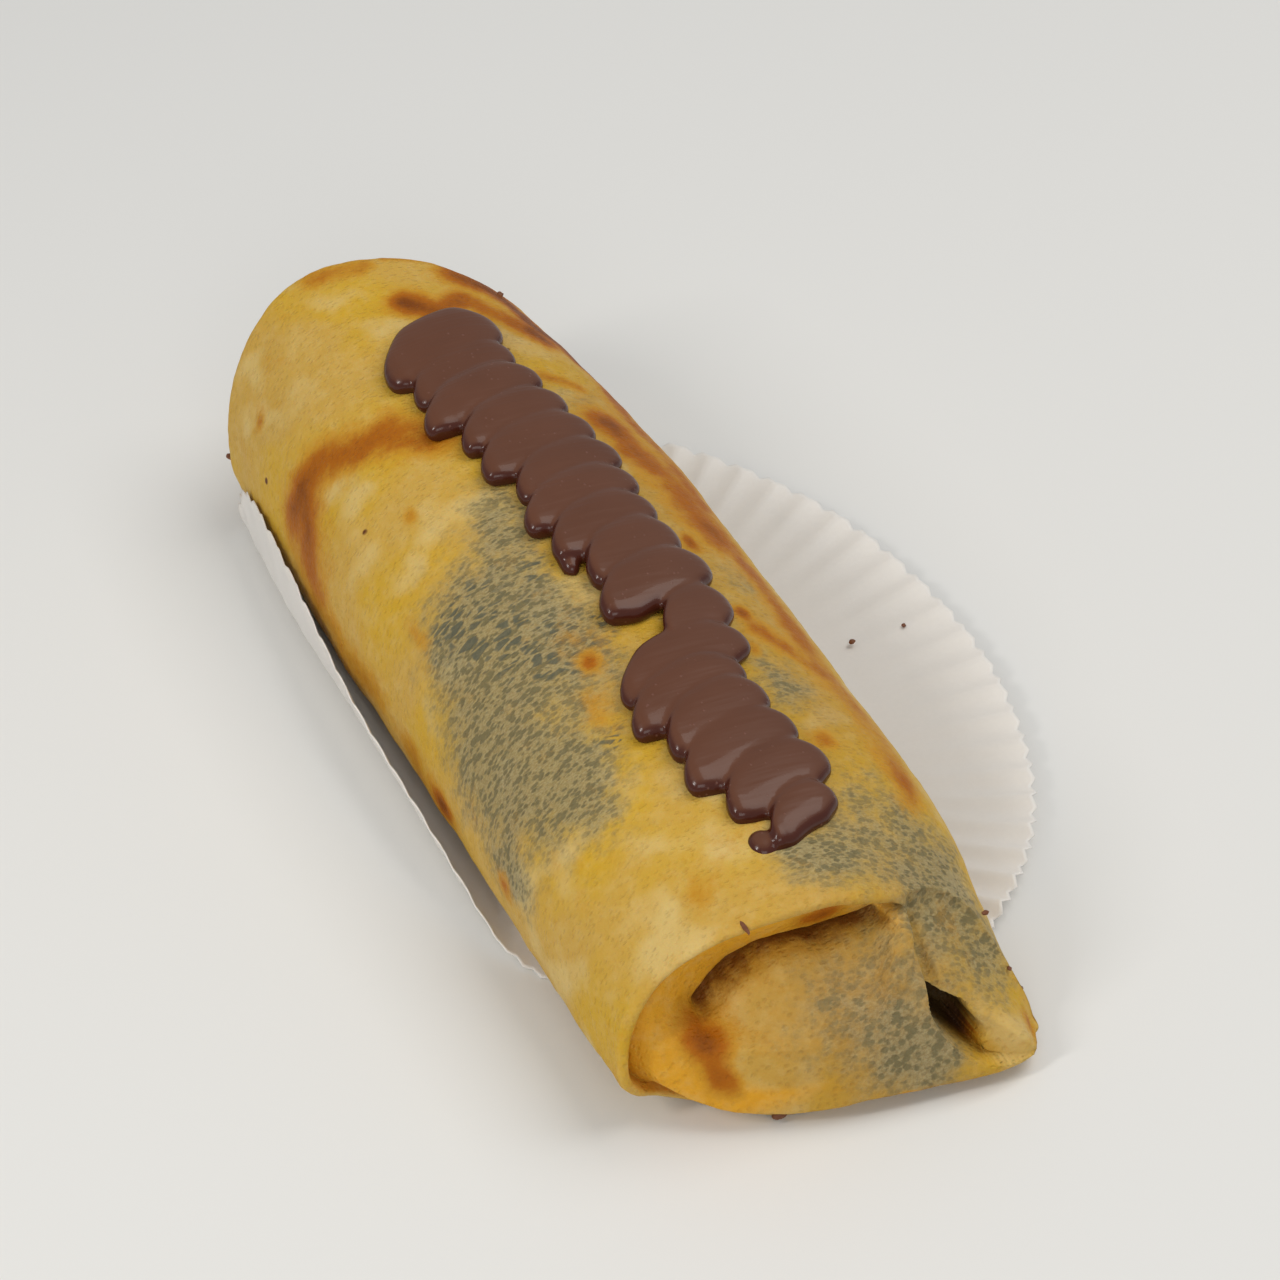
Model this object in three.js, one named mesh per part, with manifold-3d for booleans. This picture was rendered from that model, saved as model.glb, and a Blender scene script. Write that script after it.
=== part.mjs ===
// A folded crepe in its pleated paper case, with a zigzag of chocolate piped along the top.
// Millimetres, +Z up. The crepe lies along Y; its open, folded-in end faces -Y.
import * as THREE from 'three';
import Module from 'manifold-3d';
import { mergeVertices } from 'three/addons/utils/BufferGeometryUtils.js';

// ---------- driving sizes ----------

// Crepe: a roll along Y between two folded-in ends.
const HEIGHT = [[-80, 34], [-45, 37.5], [-5, 40.3], [35, 41.3], [82, 42]]; // [y, height]
const LEFT_REACH = [[-80, 31.4], [-45, 31.6], [-5, 32.3], [35, 33], [82, 31]]; // [y, reach]
const RIGHT_REACH = [[-80, 33.4], [-45, 32.8], [-5, 32.6], [35, 31.6], [82, 24.6]];
const WIDEST_SHARE = 0.36; // height of the widest line, as a share of the roll's height
const CORNER_HEIGHT = 3; // where the near right corner is pinched flat
const TOP_POWER = 2.15; // roundness of the top, 2 is an ellipse
const PINCHED_POWER = 1.5; // the same over the pinched corner
const BOTTOM_POWER = 3; // squarer underneath, where it rests
const NEAR_LEFT_POWER = 2.3; // rounder under the near left corner
const LAYER = 1.8; // thickness of the crepe's outer layer
const CREPE_FLOOR = 0.75; // underside of the roll above the table
const DROOP = 0.55; // how much lower the near end hangs

// Where the outer layer ends, going round from +X over the top: [degrees, y].
const NEAR_EDGE = [[-100, -85.5], [-45, -87], [-8, -86], [8, -82.5], [30, -75.5], [48, -74.6], [64, -77],
  [90, -77.5], [112, -76.6], [135, -75.2], [160, -75.6], [180, -77], [205, -77], [222, -76],
  [238, -78.5], [252, -84], [260, -85.5]];
const FAR_EDGE = [[-100, 79], [-40, 75], [0, 73], [45, 76], [80, 84], [110, 88.8], [140, 87.5],
  [165, 83], [190, 81], [225, 79], [260, 79]];
const LIP_GAP = 4.5; // depth of the groove behind the lip
const NEAR_CENTRE = new THREE.Vector2(4, 13); // middle of the near end, across and up
const FAR_CENTRE = new THREE.Vector2(0, 16);
const FAR_MIDDLE = 80; // where the tucked-in far end lies at its middle, along Y

// Folded-in near end. The inner roll shows inside the lip and meets the flap in a crease.
const CRESCENT = [[60, 2.5], [70, 6.5], [80, 9], [90, 11], [102, 11.5], [118, 12.5], [130, 14],
  [150, 15], [168, 14], [200, 13]]; // [degrees, width of the inner roll]
const CREASE_SINK = [[60, 2], [90, 4], [130, 3.4], [165, 2.2], [185, 1.5], [200, 1.5]]; // behind the lip
const CREASE_STEP = [[62, 0], [72, 2], [90, 2.6], [148, 2.4], [163, 1.2], [176, 0], [200, 0]];
const CREASE_FADE = 5; // the flap swells out from the crease over this
const FLAP_FRONT = -91.5; // the flap's foremost line, along Y
const FLAP_LEAN = 15; // how far its top leans back
const FOLD_X = 14.6; // the flap's upright fold, right of the axis
const FOLD_STEP = 3.2; // the flap stands proud of the right face by this
const POCKET_DEPTH = 10; // of the open pocket beside the fold

// Chocolate piped over the top.
const STROKE_ENDS = [[-12.6, 10], [-10.6, 9.2], [-12, 10.8], [-8.6, 12], [-8.4, 13.4], [-5.6, 14.6],
  [-7.6, 14.2], [-6.2, 13.8], [-3.6, 14.2], [-5.2, 15.8], [1.5, 15], [-9.8, 13.8], [-11, 10],
  [-8, 10.8], [-8.6, 12], [-5.4, 13.6], [-2, 11]]; // left and right end of each stroke
const STROKE_PITCH = 7.5;
const FIRST_STROKE = 55.8; // along Y, from the far end
const HAND_PAUSE = 3; // the hand pauses here, so the later strokes lie this much nearer
const PAUSE_STROKE = 11;
const STROKE_WIDTH = 10.2;
const STROKE_THICKNESS = 3.4;
const STROKE_TILT = 2.6;
const STROKE_BOW = 1.8;
const STROKE_SECTIONS = 7;
const STROKE_SIDES = 8;
const FIRST_WIDER = 1.3; // the first stroke is wider
const LAST_NARROWER = 0.72; // the last one tails off
const GAP = 0.4; // clearance between touching pieces

// Paper case, an oval pressed flat to the right of the crepe and standing up to its left.
const PAPER = 0.4; // thickness
const PAPER_CENTRE = new THREE.Vector2(11.6, 5);
const PAPER_BASE = new THREE.Vector2(33, 56); // half sizes of the flat base
const PAPER_RIM = new THREE.Vector2(55, 77); // half sizes of the rim, pressed flat
const PAPER_RINGS = [0, 0.3, 0.52, 0.76, 1]; // where the wall is cut, from base to rim
const PAPER_TURN = THREE.MathUtils.degToRad(5); // the oval lies turned on the table
const SQUARED_SIDE = 7; // power of the oval's squarer far left side, 2 is an ellipse
const PLEATS = 65;
const PLEAT_DEPTH = 0.9;
const LEFT_PLEATS = 0.35; // the bent up side is drawn flatter
const RIM_RISE = 3.4; // how far the free right rim lifts off the table
const BEND_X = [[-70, -28.4], [20, -28.4], [45, -28.6], [62, -27.9], [80, -26.6]]; // [y, left bend]
const BEND_RADIUS = 5.6;
const BEND_ANGLE = [[-70, 72], [-45, 72], [-10, 71], [12, 72], [28, 78], [45, 86], [80, 89]]; // [y, degrees]

// Fineness of the faceted solids.
const AROUND = 64;
const BODY_RINGS = 12;

// ---------- small helpers ----------

const { lerp, degToRad, smoothstep } = THREE.MathUtils;
const TAU = 2 * Math.PI;

// Stations round the roll run from just below +X, so angles past this start again below it.
function stationDegrees(degrees) {
  return degrees > 260 ? degrees - 360 : degrees;
}

// Smooth curve through stations [position, value].
function along(stations, at) {
  const last = stations.length - 1;
  const p = THREE.MathUtils.clamp(at, stations[0][0], stations[last][0]);
  let i = 0;
  while (i < last - 1 && p > stations[i + 1][0]) i += 1;
  const [x0, v0] = stations[i];
  const [x1, v1] = stations[i + 1];
  const slope = (j, k) => (stations[k][1] - stations[j][1]) / (stations[k][0] - stations[j][0]);
  const m0 = slope(Math.max(i - 1, 0), i + 1);
  const m1 = slope(i, Math.min(i + 2, last));
  const w = x1 - x0;
  const t = (p - x0) / w;
  const t2 = t * t;
  const t3 = t2 * t;
  return (2 * t3 - 3 * t2 + 1) * v0 + (t3 - 2 * t2 + t) * w * m0
    + (3 * t2 - 2 * t3) * v1 + (t3 - t2) * w * m1;
}

// Lower of two surfaces with the meeting line softened over `soft`.
function softMin(a, b, soft) {
  const h = THREE.MathUtils.clamp(0.5 + (b - a) / (2 * soft), 0, 1);
  return lerp(b, a, h) - soft * h * (1 - h);
}

// Closed geometry from a stack of rings, with a point closing each end.
function geometryFromRings(rings, firstPole, lastPole) {
  const n = rings[0].length;
  const points = [firstPole, ...rings.flat(), lastPole];
  const index = [];
  for (let j = 0; j < n; j += 1) {
    const k = (j + 1) % n;
    index.push(0, 1 + k, 1 + j);
    const end = 1 + (rings.length - 1) * n;
    index.push(points.length - 1, end + j, end + k);
  }
  for (let r = 0; r < rings.length - 1; r += 1) {
    for (let j = 0; j < n; j += 1) {
      const a = 1 + r * n + j;
      const b = 1 + r * n + ((j + 1) % n);
      index.push(a, b, a + n, b, b + n, a + n);
    }
  }
  const geometry = new THREE.BufferGeometry();
  geometry.setAttribute('position', new THREE.Float32BufferAttribute(points.flatMap((p) => p.toArray()), 3));
  geometry.setIndex(index);
  return geometry;
}

// ---------- crepe ----------

function floorAt(y) {
  return CREPE_FLOOR - DROOP * smoothstep(-y, 72, 84);
}

// Point of the roll's outer surface: y along it, phi round it from +X over the top.
function rollPoint(y, phi) {
  const c = Math.cos(phi);
  const s = Math.sin(phi);
  const height = along(HEIGHT, y);
  const pinch = c > 0 ? smoothstep(-y, 52, 84) : 0;
  const widest = lerp(height * WIDEST_SHARE, CORNER_HEIGHT, pinch);
  const reach = along(c > 0 ? RIGHT_REACH : LEFT_REACH, y);
  const under = c < 0 ? lerp(BOTTOM_POWER, NEAR_LEFT_POWER, smoothstep(-y, 50, 78)) : BOTTOM_POWER;
  const power = s < 0 ? under : lerp(TOP_POWER, PINCHED_POWER, pinch);
  const r = (Math.abs(c) ** power + Math.abs(s) ** power) ** (-1 / power);
  const rise = s < 0 ? widest * 1.04 : height - widest;
  const z = Math.max(widest + rise * r * s, floorAt(y));
  return new THREE.Vector3(reach * r * c, y, z);
}

// How much the layer's edge stands free as a lip, 0 to 1, round the near end.
function lipShare(degrees) {
  return smoothstep(degrees, 57, 68) * (1 - smoothstep(degrees, 228, 252));
}

// Depth along Y of the folded-in near end at a point across it.
function flapSurface(x, z, lipY, inset, lip, degrees) {
  const front = FLAP_FRONT + 0.0074 * (x - 15) ** 2 - 2.2 * smoothstep(x, 12, 28);
  const lean = FLAP_LEAN * (Math.max(z - 4, 0) / 28) ** 1.6;
  const curl = 6 * (1 - Math.sqrt(1 - (Math.max(4 - z, 0) / 4) ** 2));
  const flap = front + lean + curl;
  // the inner roll inside the lip, which meets the flap in a crease
  const width = along(CRESCENT, degrees);
  const sink = along(CREASE_SINK, degrees);
  const ledge = along(CREASE_STEP, degrees);
  const smooth = softMin(flap, lipY + 1.7 + 0.6 * (inset / width) ** 3, 3);
  const inner = lipY + 1.1 + sink * Math.min(inset / width, 1) ** 2;
  const fade = Math.exp(-Math.max(inset - width, 0) / CREASE_FADE);
  const creased = inset < width ? inner : lerp(flap, lipY + 1.1 + sink - ledge, fade);
  let y = lerp(flap, lerp(smooth, creased, smoothstep(ledge, 0, 1.4)), lip);
  // the upright fold on the right, the face beyond it and the pocket between them
  const edge = FOLD_X + 11 * (Math.max(16 - z, 0) / 14) ** 2.2 + 9 * smoothstep(4.6 - z, 0, 2.6);
  const face = -77 - (27 - z) * 0.36;
  const step = FOLD_STEP * (1 - 0.8 * smoothstep(x, 22, 29));
  const beyond = smoothstep(x - edge, -0.8, 0.6);
  const upper = edge + 4.4 * smoothstep(16.5 - z, 0, 4) * smoothstep(z, 4.5, 9);
  const bounds = smoothstep(upper - x, -0.7, 0.7) * smoothstep(17 - z, 0, 1.5) * smoothstep(26 - x, 0, 3);
  y = lerp(y, Math.max(y + 0.4, Math.min(face, y + step)), beyond);
  return y + POCKET_DEPTH * beyond * bounds;
}

function nearRings() {
  const centre = NEAR_CENTRE;
  const insets = [0.5, 1.3, LAYER, LAYER + 0.35];
  const lipOffsets = [-0.8, -0.8, 0, LIP_GAP];
  const shares = [0.93, 0.84, 0.74, 0.63, 0.52, 0.4, 0.28, 0.14];
  const rings = Array.from({ length: insets.length + shares.length }, () => []);
  for (let j = 0; j < AROUND; j += 1) {
    const degrees = (360 * j) / AROUND;
    const from = stationDegrees(degrees);
    const edgeY = along(NEAR_EDGE, from);
    const lip = from < 0 ? 0 : lipShare(from);
    const edge = rollPoint(edgeY, degToRad(degrees));
    const span = Math.hypot(edge.x - centre.x, edge.z - centre.y);
    const corner = smoothstep(from, -5, 20) * (1 - smoothstep(from, 50, 62));
    const shoulder = lerp(3.5, 11, corner);
    const at = (inset, y) => {
      const share = 1 - inset / span;
      const x = lerp(centre.x, edge.x, share);
      const z = lerp(centre.y, edge.z, share);
      const own = flapSurface(x, z, edgeY, inset, lip * smoothstep(share, 0.05, 0.4), from);
      return new THREE.Vector3(x, y(own), z);
    };
    insets.forEach((inset, i) => {
      const free = edgeY + lipOffsets[i];
      const soft = smoothstep(inset, 0, shoulder);
      rings[i].push(at(inset, (own) => lerp(lerp(edgeY, own, soft), free, lip)));
    });
    shares.forEach((share, i) => {
      const inset = (1 - share) * (span - LAYER - 0.6) + LAYER + 0.6;
      const settled = Math.max(lip, smoothstep(inset, 0, shoulder));
      rings[insets.length + i].push(at(inset, (own) => lerp(edgeY, own, settled)));
    });
  }
  return { rings, pole: new THREE.Vector3(centre.x, flapSurface(centre.x, centre.y, 0, 30, 0, 0), centre.y) };
}

function farRings() {
  const centre = FAR_CENTRE;
  // [inset, forward of the edge]
  const profile = [[0.6, 0.7], [1.4, 0.7], [LAYER, 0], [LAYER + 0.4, -LIP_GAP]];
  const shares = [0.93, 0.8, 0.62, 0.42, 0.2];
  const rings = Array.from({ length: profile.length + shares.length }, () => []);
  const tucked = (share) => -3.5 + 2.6 * Math.sqrt(1 - share ** 2);
  for (let j = 0; j < AROUND; j += 1) {
    const degrees = (360 * j) / AROUND;
    const from = stationDegrees(degrees);
    const edgeY = along(FAR_EDGE, from);
    const edge = rollPoint(edgeY, degToRad(degrees));
    const span = Math.hypot(edge.x - centre.x, edge.z - centre.y);
    const place = (inset, y) => {
      const share = 1 - inset / span;
      return new THREE.Vector3(lerp(centre.x, edge.x, share), y, lerp(centre.y, edge.z, share));
    };
    profile.forEach(([inset, forward], i) => rings[i].push(place(inset, edgeY + forward)));
    shares.forEach((share, i) => {
      const y = lerp(FAR_MIDDLE, edgeY, share ** 2) + tucked(share);
      rings[profile.length + i].push(place((1 - share) * span, y));
    });
  }
  return { rings: rings.reverse(), pole: new THREE.Vector3(centre.x, FAR_MIDDLE + tucked(0), centre.y) };
}

function crepeGeometry() {
  const body = [];
  for (let i = 0; i <= BODY_RINGS; i += 1) {
    const t = i / BODY_RINGS;
    const ring = [];
    for (let j = 0; j < AROUND; j += 1) {
      const degrees = (360 * j) / AROUND;
      const from = stationDegrees(degrees);
      const y = lerp(along(FAR_EDGE, from), along(NEAR_EDGE, from), t);
      ring.push(rollPoint(y, degToRad(degrees)));
    }
    body.push(ring);
  }
  const near = nearRings();
  const far = farRings();
  return geometryFromRings([...far.rings, ...body, ...near.rings], far.pole, near.pole);
}

// ---------- chocolate ----------

// Height of the roll's top surface over a point.
function topOf(x, y) {
  const height = along(HEIGHT, y);
  const widest = height * WIDEST_SHARE;
  const reach = along(x > 0 ? RIGHT_REACH : LEFT_REACH, y);
  return widest + (height - widest) * (1 - Math.abs(x / reach) ** TOP_POWER) ** (1 / TOP_POWER);
}

// How far along the roll a stroke lies: an even pitch with one pause of the hand.
function strokeMiddle(i) {
  const pause = Math.exp(-(((i - PAUSE_STROKE) / 1.6) ** 2));
  return FIRST_STROKE - STROKE_PITCH * i - HAND_PAUSE * pause;
}

function strokeGeometry(i) {
  const [left, right] = STROKE_ENDS[i];
  const last = STROKE_ENDS.length - 1;
  const wide = { 0: FIRST_WIDER, [last]: LAST_NARROWER }[i] ?? 1;
  const rings = [];
  const put = (u, side, fullness) => {
    const x = lerp(left, right, (u + 1) / 2);
    const bow = STROKE_TILT * u + STROKE_BOW * (1 - u * u);
    const y = strokeMiddle(i) + bow + (STROKE_WIDTH / 2) * wide * fullness * Math.cos(side);
    const lift = STROKE_THICKNESS * (0.35 + 0.6 * fullness * Math.sin(side));
    return new THREE.Vector3(x, y, topOf(x, y) + GAP + Math.max(lift, 0));
  };
  for (let k = 0; k < STROKE_SECTIONS; k += 1) {
    const u = -Math.cos((Math.PI * (k + 0.7)) / (STROKE_SECTIONS + 0.4));
    const fullness = (1 - Math.abs(u) ** 5) ** 0.5;
    const ring = [];
    for (let j = 0; j < STROKE_SIDES; j += 1) ring.push(put(u, (TAU * j) / STROKE_SIDES, fullness));
    rings.push(ring);
  }
  return geometryFromRings(rings, put(-1, 0, 0), put(1, 0, 0));
}

function toSolid(wasm, geometry) {
  const bare = geometry.clone();
  bare.deleteAttribute('normal');
  bare.deleteAttribute('uv');
  const merged = mergeVertices(bare, 1e-4);
  return new wasm.Manifold(new wasm.Mesh({
    numProp: 3,
    vertProperties: new Float32Array(merged.getAttribute('position').array),
    triVerts: new Uint32Array(merged.getIndex().array),
  }));
}

function toGeometry(solid) {
  const mesh = solid.getMesh();
  const geometry = new THREE.BufferGeometry();
  geometry.setAttribute('position', new THREE.BufferAttribute(mesh.vertProperties, 3));
  geometry.setIndex(new THREE.BufferAttribute(mesh.triVerts, 1));
  return geometry;
}

async function chocolateGeometry() {
  const wasm = await Module();
  wasm.setup();
  let all = null;
  for (let i = 0; i < STROKE_ENDS.length; i += 1) {
    const stroke = toSolid(wasm, strokeGeometry(i));
    all = all ? all.add(stroke) : stroke;
  }
  return toGeometry(all);
}

// ---------- paper case ----------

// Lays a point of the flat paper in place: bent up along the crepe's left side,
// lifted a little on the free right side, pressed flat under the crepe.
function paperPoint(flatX, flatY, wallShare, pleat, above) {
  const free = Math.max(smoothstep(flatX, 27, 36), LEFT_PLEATS * smoothstep(-flatX, 27, 31));
  const wave = pleat * PLEAT_DEPTH * 0.5 * wallShare ** 1.5 * free;
  const bendX = along(BEND_X, flatY);
  const beyond = bendX - flatX;
  if (beyond <= 0) {
    const rise = RIM_RISE * wallShare ** 1.4 * smoothstep(flatX, 26, 46);
    const lift = Math.max(rise + wave, 0);
    return new THREE.Vector3(flatX, flatY, lift + above);
  }
  const bend = degToRad(along(BEND_ANGLE, flatY));
  const angle = Math.min(beyond / BEND_RADIUS, bend);
  const straight = Math.max(beyond - BEND_RADIUS * bend, 0);
  const outX = -Math.cos(angle) * straight - Math.sin(angle) * BEND_RADIUS;
  const upZ = Math.sin(angle) * straight + (1 - Math.cos(angle)) * BEND_RADIUS;
  const away = above + Math.max(wave, 0) * (angle < 1 ? 0 : -1);
  return new THREE.Vector3(bendX + outX + Math.sin(angle) * away, flatY, upZ + Math.cos(angle) * away);
}

// Point of an oval whose far left side is squarer, turned a little about the case's centre.
function ovalPoint(halfX, halfY, angle) {
  const c = Math.cos(angle);
  const s = Math.sin(angle);
  const squared = smoothstep(-c, 0, 0.5) * smoothstep(s, -0.3, 0.4);
  const power = lerp(2, SQUARED_SIDE, squared);
  const reach = (Math.abs(c) ** power + Math.abs(s) ** power) ** (-1 / power);
  const point = new THREE.Vector2(halfX * c * reach, halfY * s * reach);
  return point.rotateAround(new THREE.Vector2(), PAPER_TURN).add(PAPER_CENTRE);
}

function paperGeometry() {
  const count = PLEATS * 2;
  const sheet = (above) => PAPER_RINGS.map((share) => {
    const ring = [];
    for (let k = 0; k < count; k += 1) {
      const a = (TAU * k) / count;
      const halfX = lerp(PAPER_BASE.x, PAPER_RIM.x, share);
      const halfY = lerp(PAPER_BASE.y, PAPER_RIM.y, share);
      const { x, y } = ovalPoint(halfX, halfY, a);
      ring.push(paperPoint(x, y, share, k % 2 ? 1 : -1, above));
    }
    return ring;
  });
  const under = sheet(0);
  const over = sheet(PAPER);
  const centre = (z) => new THREE.Vector3(PAPER_CENTRE.x, PAPER_CENTRE.y, z);
  return geometryFromRings([...under, ...over.reverse()], centre(0), centre(PAPER));
}

// ---------- the whole ----------

function piece(name, geometry, color, roughness) {
  const solid = new THREE.Mesh(geometry, new THREE.MeshStandardMaterial({ color, roughness, metalness: 0 }));
  solid.name = name;
  return solid;
}

const group = new THREE.Group();
group.add(piece('crepe', crepeGeometry(), 0xdcb467, 0.6));
group.add(piece('chocolate', await chocolateGeometry(), 0x5a382b, 0.35));
group.add(piece('paper_case', paperGeometry(), 0xe9e2d8, 0.85));

// Centres the whole on its footprint, with the paper's base on the table.
const box = new THREE.Box3().setFromObject(group);
const middle = box.getCenter(new THREE.Vector3());
group.children.forEach((mesh) => mesh.position.set(-middle.x, -middle.y, -box.min.z));

export default group;
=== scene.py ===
# %% [markdown]
# # A folded crepe in its paper case
# A thin crepe is folded over its filling, rolled into a fat sleeve and laid in an oval
# pleated case. A zigzag of chocolate is piped along the top. We keep the sizes of the
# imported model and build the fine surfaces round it, one piece at a time.

# %% Load the frame
import math

import bpy
import numpy as np
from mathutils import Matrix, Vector, noise


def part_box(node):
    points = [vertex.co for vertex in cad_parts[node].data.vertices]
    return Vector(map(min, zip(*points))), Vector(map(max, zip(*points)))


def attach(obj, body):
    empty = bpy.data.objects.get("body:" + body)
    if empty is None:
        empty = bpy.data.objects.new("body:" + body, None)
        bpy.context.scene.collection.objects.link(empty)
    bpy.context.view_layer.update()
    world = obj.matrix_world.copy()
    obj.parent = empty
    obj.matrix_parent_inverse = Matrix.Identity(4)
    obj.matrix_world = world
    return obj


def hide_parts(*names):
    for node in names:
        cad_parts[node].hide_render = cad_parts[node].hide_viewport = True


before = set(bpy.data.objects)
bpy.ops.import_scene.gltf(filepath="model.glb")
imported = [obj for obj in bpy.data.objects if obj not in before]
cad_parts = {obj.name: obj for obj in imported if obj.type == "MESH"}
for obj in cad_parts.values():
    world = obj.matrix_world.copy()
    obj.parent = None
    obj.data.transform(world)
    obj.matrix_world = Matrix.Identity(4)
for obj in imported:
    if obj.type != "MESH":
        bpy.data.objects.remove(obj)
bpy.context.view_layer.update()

MM = 0.001
print("CAD nodes:", sorted(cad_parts))

# %% [markdown]
# All shaping is done in millimetres in the crepe's own frame: x to the right of the roll's
# axis, y along it, z up from the table. The crepe's box in the frame says where that is.

# %% The crepe's own frame
CREPE_LEFT = 33.03
CREPE_FAR = 89.69
crepe_low, crepe_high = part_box("crepe")
ORIGIN = np.array([crepe_low[0] + CREPE_LEFT * MM, crepe_high[1] - CREPE_FAR * MM, 0.0])


def to_metres(points):
    """Points in the crepe's frame, in millimetres, as points in the model's frame."""
    return np.asarray(points, dtype=float) * MM + ORIGIN


print("axis of the roll at", ORIGIN.round(4))

# %% [markdown]
# The camera stands to the left of the near end and looks down on the crepe from about
# forty degrees, with a long lens, so that the far end looks little smaller.

# %% Camera
VIEW_TURN = math.radians(25)
VIEW_DROP = math.radians(40)
VIEW_DISTANCE = 0.6032
LENS = 106.9
AIM = Vector(to_metres([8.2, 0, 20]))


def add_camera():
    sight = Vector((
        math.sin(VIEW_TURN) * math.cos(VIEW_DROP),
        math.cos(VIEW_TURN) * math.cos(VIEW_DROP),
        -math.sin(VIEW_DROP),
    ))
    camera = bpy.data.objects.new("camera", bpy.data.cameras.new("camera"))
    bpy.context.collection.objects.link(camera)
    camera.data.sensor_width = 36
    camera.data.lens = LENS
    camera.data.clip_start = 0.01
    camera.location = AIM - sight * VIEW_DISTANCE
    camera.rotation_euler = sight.to_track_quat("-Z", "Y").to_euler()
    bpy.context.scene.camera = camera
    return camera


camera = add_camera()
print("camera at", [round(v, 3) for v in camera.location])

# %% [markdown]
# The light is a studio's: a broad soft box above and behind to the right, a weaker one
# on the left whose reflection shows in the chocolate, and a pale room all round.

# %% Light and floor
def add_softbox(name, where, size, power, colour):
    data = bpy.data.lights.new(name, "AREA")
    data.shape = "RECTANGLE"
    data.size, data.size_y = size
    data.energy = power
    data.color = colour
    light = bpy.data.objects.new(name, data)
    bpy.context.collection.objects.link(light)
    light.location = where
    light.rotation_euler = (AIM - Vector(where)).to_track_quat("-Z", "Y").to_euler()
    return light


add_softbox("key_box", (0.45, -0.05, 0.95), (0.7, 0.7), 4.7, (1.0, 0.985, 0.96))
add_softbox("fill_box", (-0.6, -0.1, 0.5), (0.08, 0.24), 1.5, (1.0, 0.98, 0.95))
add_softbox("front_box", (-0.35, -0.8, 0.55), (0.6, 0.4), 2.0, (1.0, 0.98, 0.95))

world = bpy.data.worlds.new("room")
world.use_nodes = True
world.node_tree.nodes["Background"].inputs["Color"].default_value = (0.93, 0.96, 1.0, 1)
world.node_tree.nodes["Background"].inputs["Strength"].default_value = 0.455
bpy.context.scene.world = world
bpy.context.scene.view_settings.view_transform = "Standard"


def add_floor():
    bpy.ops.object.select_all(action="DESELECT")
    bpy.ops.mesh.primitive_plane_add(size=8, location=(0, 0, -0.0002))
    floor = bpy.context.object
    floor.name = "table"
    surface = bpy.data.materials.new("white_table")
    surface.use_nodes = True
    shader = surface.node_tree.nodes["Principled BSDF"]
    shader.inputs["Base Color"].default_value = (0.75, 0.738, 0.705, 1)
    shader.inputs["Roughness"].default_value = 0.55
    shader.inputs["Specular IOR Level"].default_value = 0.25
    floor.data.materials.append(surface)
    return floor


floor = add_floor()
print("lights and floor are in")

# %% [markdown]
# Three small helpers do the drawing. `along` runs a smooth curve through a few stations,
# `ease` is a soft step from 0 to 1, and `mix` blends two values.

# %% Helpers for shaping
def along(stations, at):
    """Smooth curve through [position, value] stations, read at one or many positions."""
    knots = np.array(stations, dtype=float)
    x, v = knots[:, 0], knots[:, 1]
    p = np.clip(at, x[0], x[-1])
    i = np.clip(np.searchsorted(x, p, side="right") - 1, 0, len(x) - 2)
    before, after = np.maximum(i - 1, 0), np.minimum(i + 2, len(x) - 1)
    m0 = (v[i + 1] - v[before]) / (x[i + 1] - x[before])
    m1 = (v[after] - v[i]) / (x[after] - x[i])
    w = x[i + 1] - x[i]
    t = (p - x[i]) / w
    return (
        (2 * t**3 - 3 * t**2 + 1) * v[i]
        + (t**3 - 2 * t**2 + t) * w * m0
        + (3 * t**2 - 2 * t**3) * v[i + 1]
        + (t**3 - t**2) * w * m1
    )


def ease(value, low, high):
    t = np.clip((np.asarray(value, dtype=float) - low) / (high - low), 0, 1)
    return t * t * (3 - 2 * t)


def mix(a, b, share):
    return a + (b - a) * share


def soft_min(a, b, soft):
    h = np.clip(0.5 + (b - a) / (2 * soft), 0, 1)
    return mix(b, a, h) - soft * h * (1 - h)


def grain(points, size, seed):
    """Smooth random value from about -1 to 1 at each point, with lumps of the given size."""
    flat = np.asarray(points, dtype=float).reshape(-1, 3) / size + seed
    values = [noise.noise(p) for p in flat.tolist()]
    return np.array(values).reshape(np.asarray(points).shape[:-1])


print("half way up a soft step:", float(ease(0.5, 0, 1)))

# %% [markdown]
# ## The roll
# On the real thing one crepe goes round its filling like a sleeve: domed above, flatter and
# squarer below where it rests, and pinched flat at the near right corner. A cross-section is a
# superellipse whose height and reach change along the roll.

# %% The roll's cross-section
HEIGHT = [[-80, 34], [-45, 37.5], [-5, 40.3], [35, 41.3], [82, 42]]
LEFT_REACH = [[-80, 31.4], [-45, 31.6], [-5, 32.3], [35, 33], [82, 31]]
RIGHT_REACH = [[-80, 33.4], [-45, 32.8], [-5, 32.6], [35, 31.6], [82, 24.6]]
WIDEST_SHARE = 0.36
CORNER_HEIGHT = 3
TOP_POWER, PINCHED_POWER, BOTTOM_POWER = 2.15, 1.5, 3
CREPE_FLOOR, DROOP = 0.75, 0.55


def floor_at(y):
    return CREPE_FLOOR - DROOP * ease(-y, 72, 84)


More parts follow.
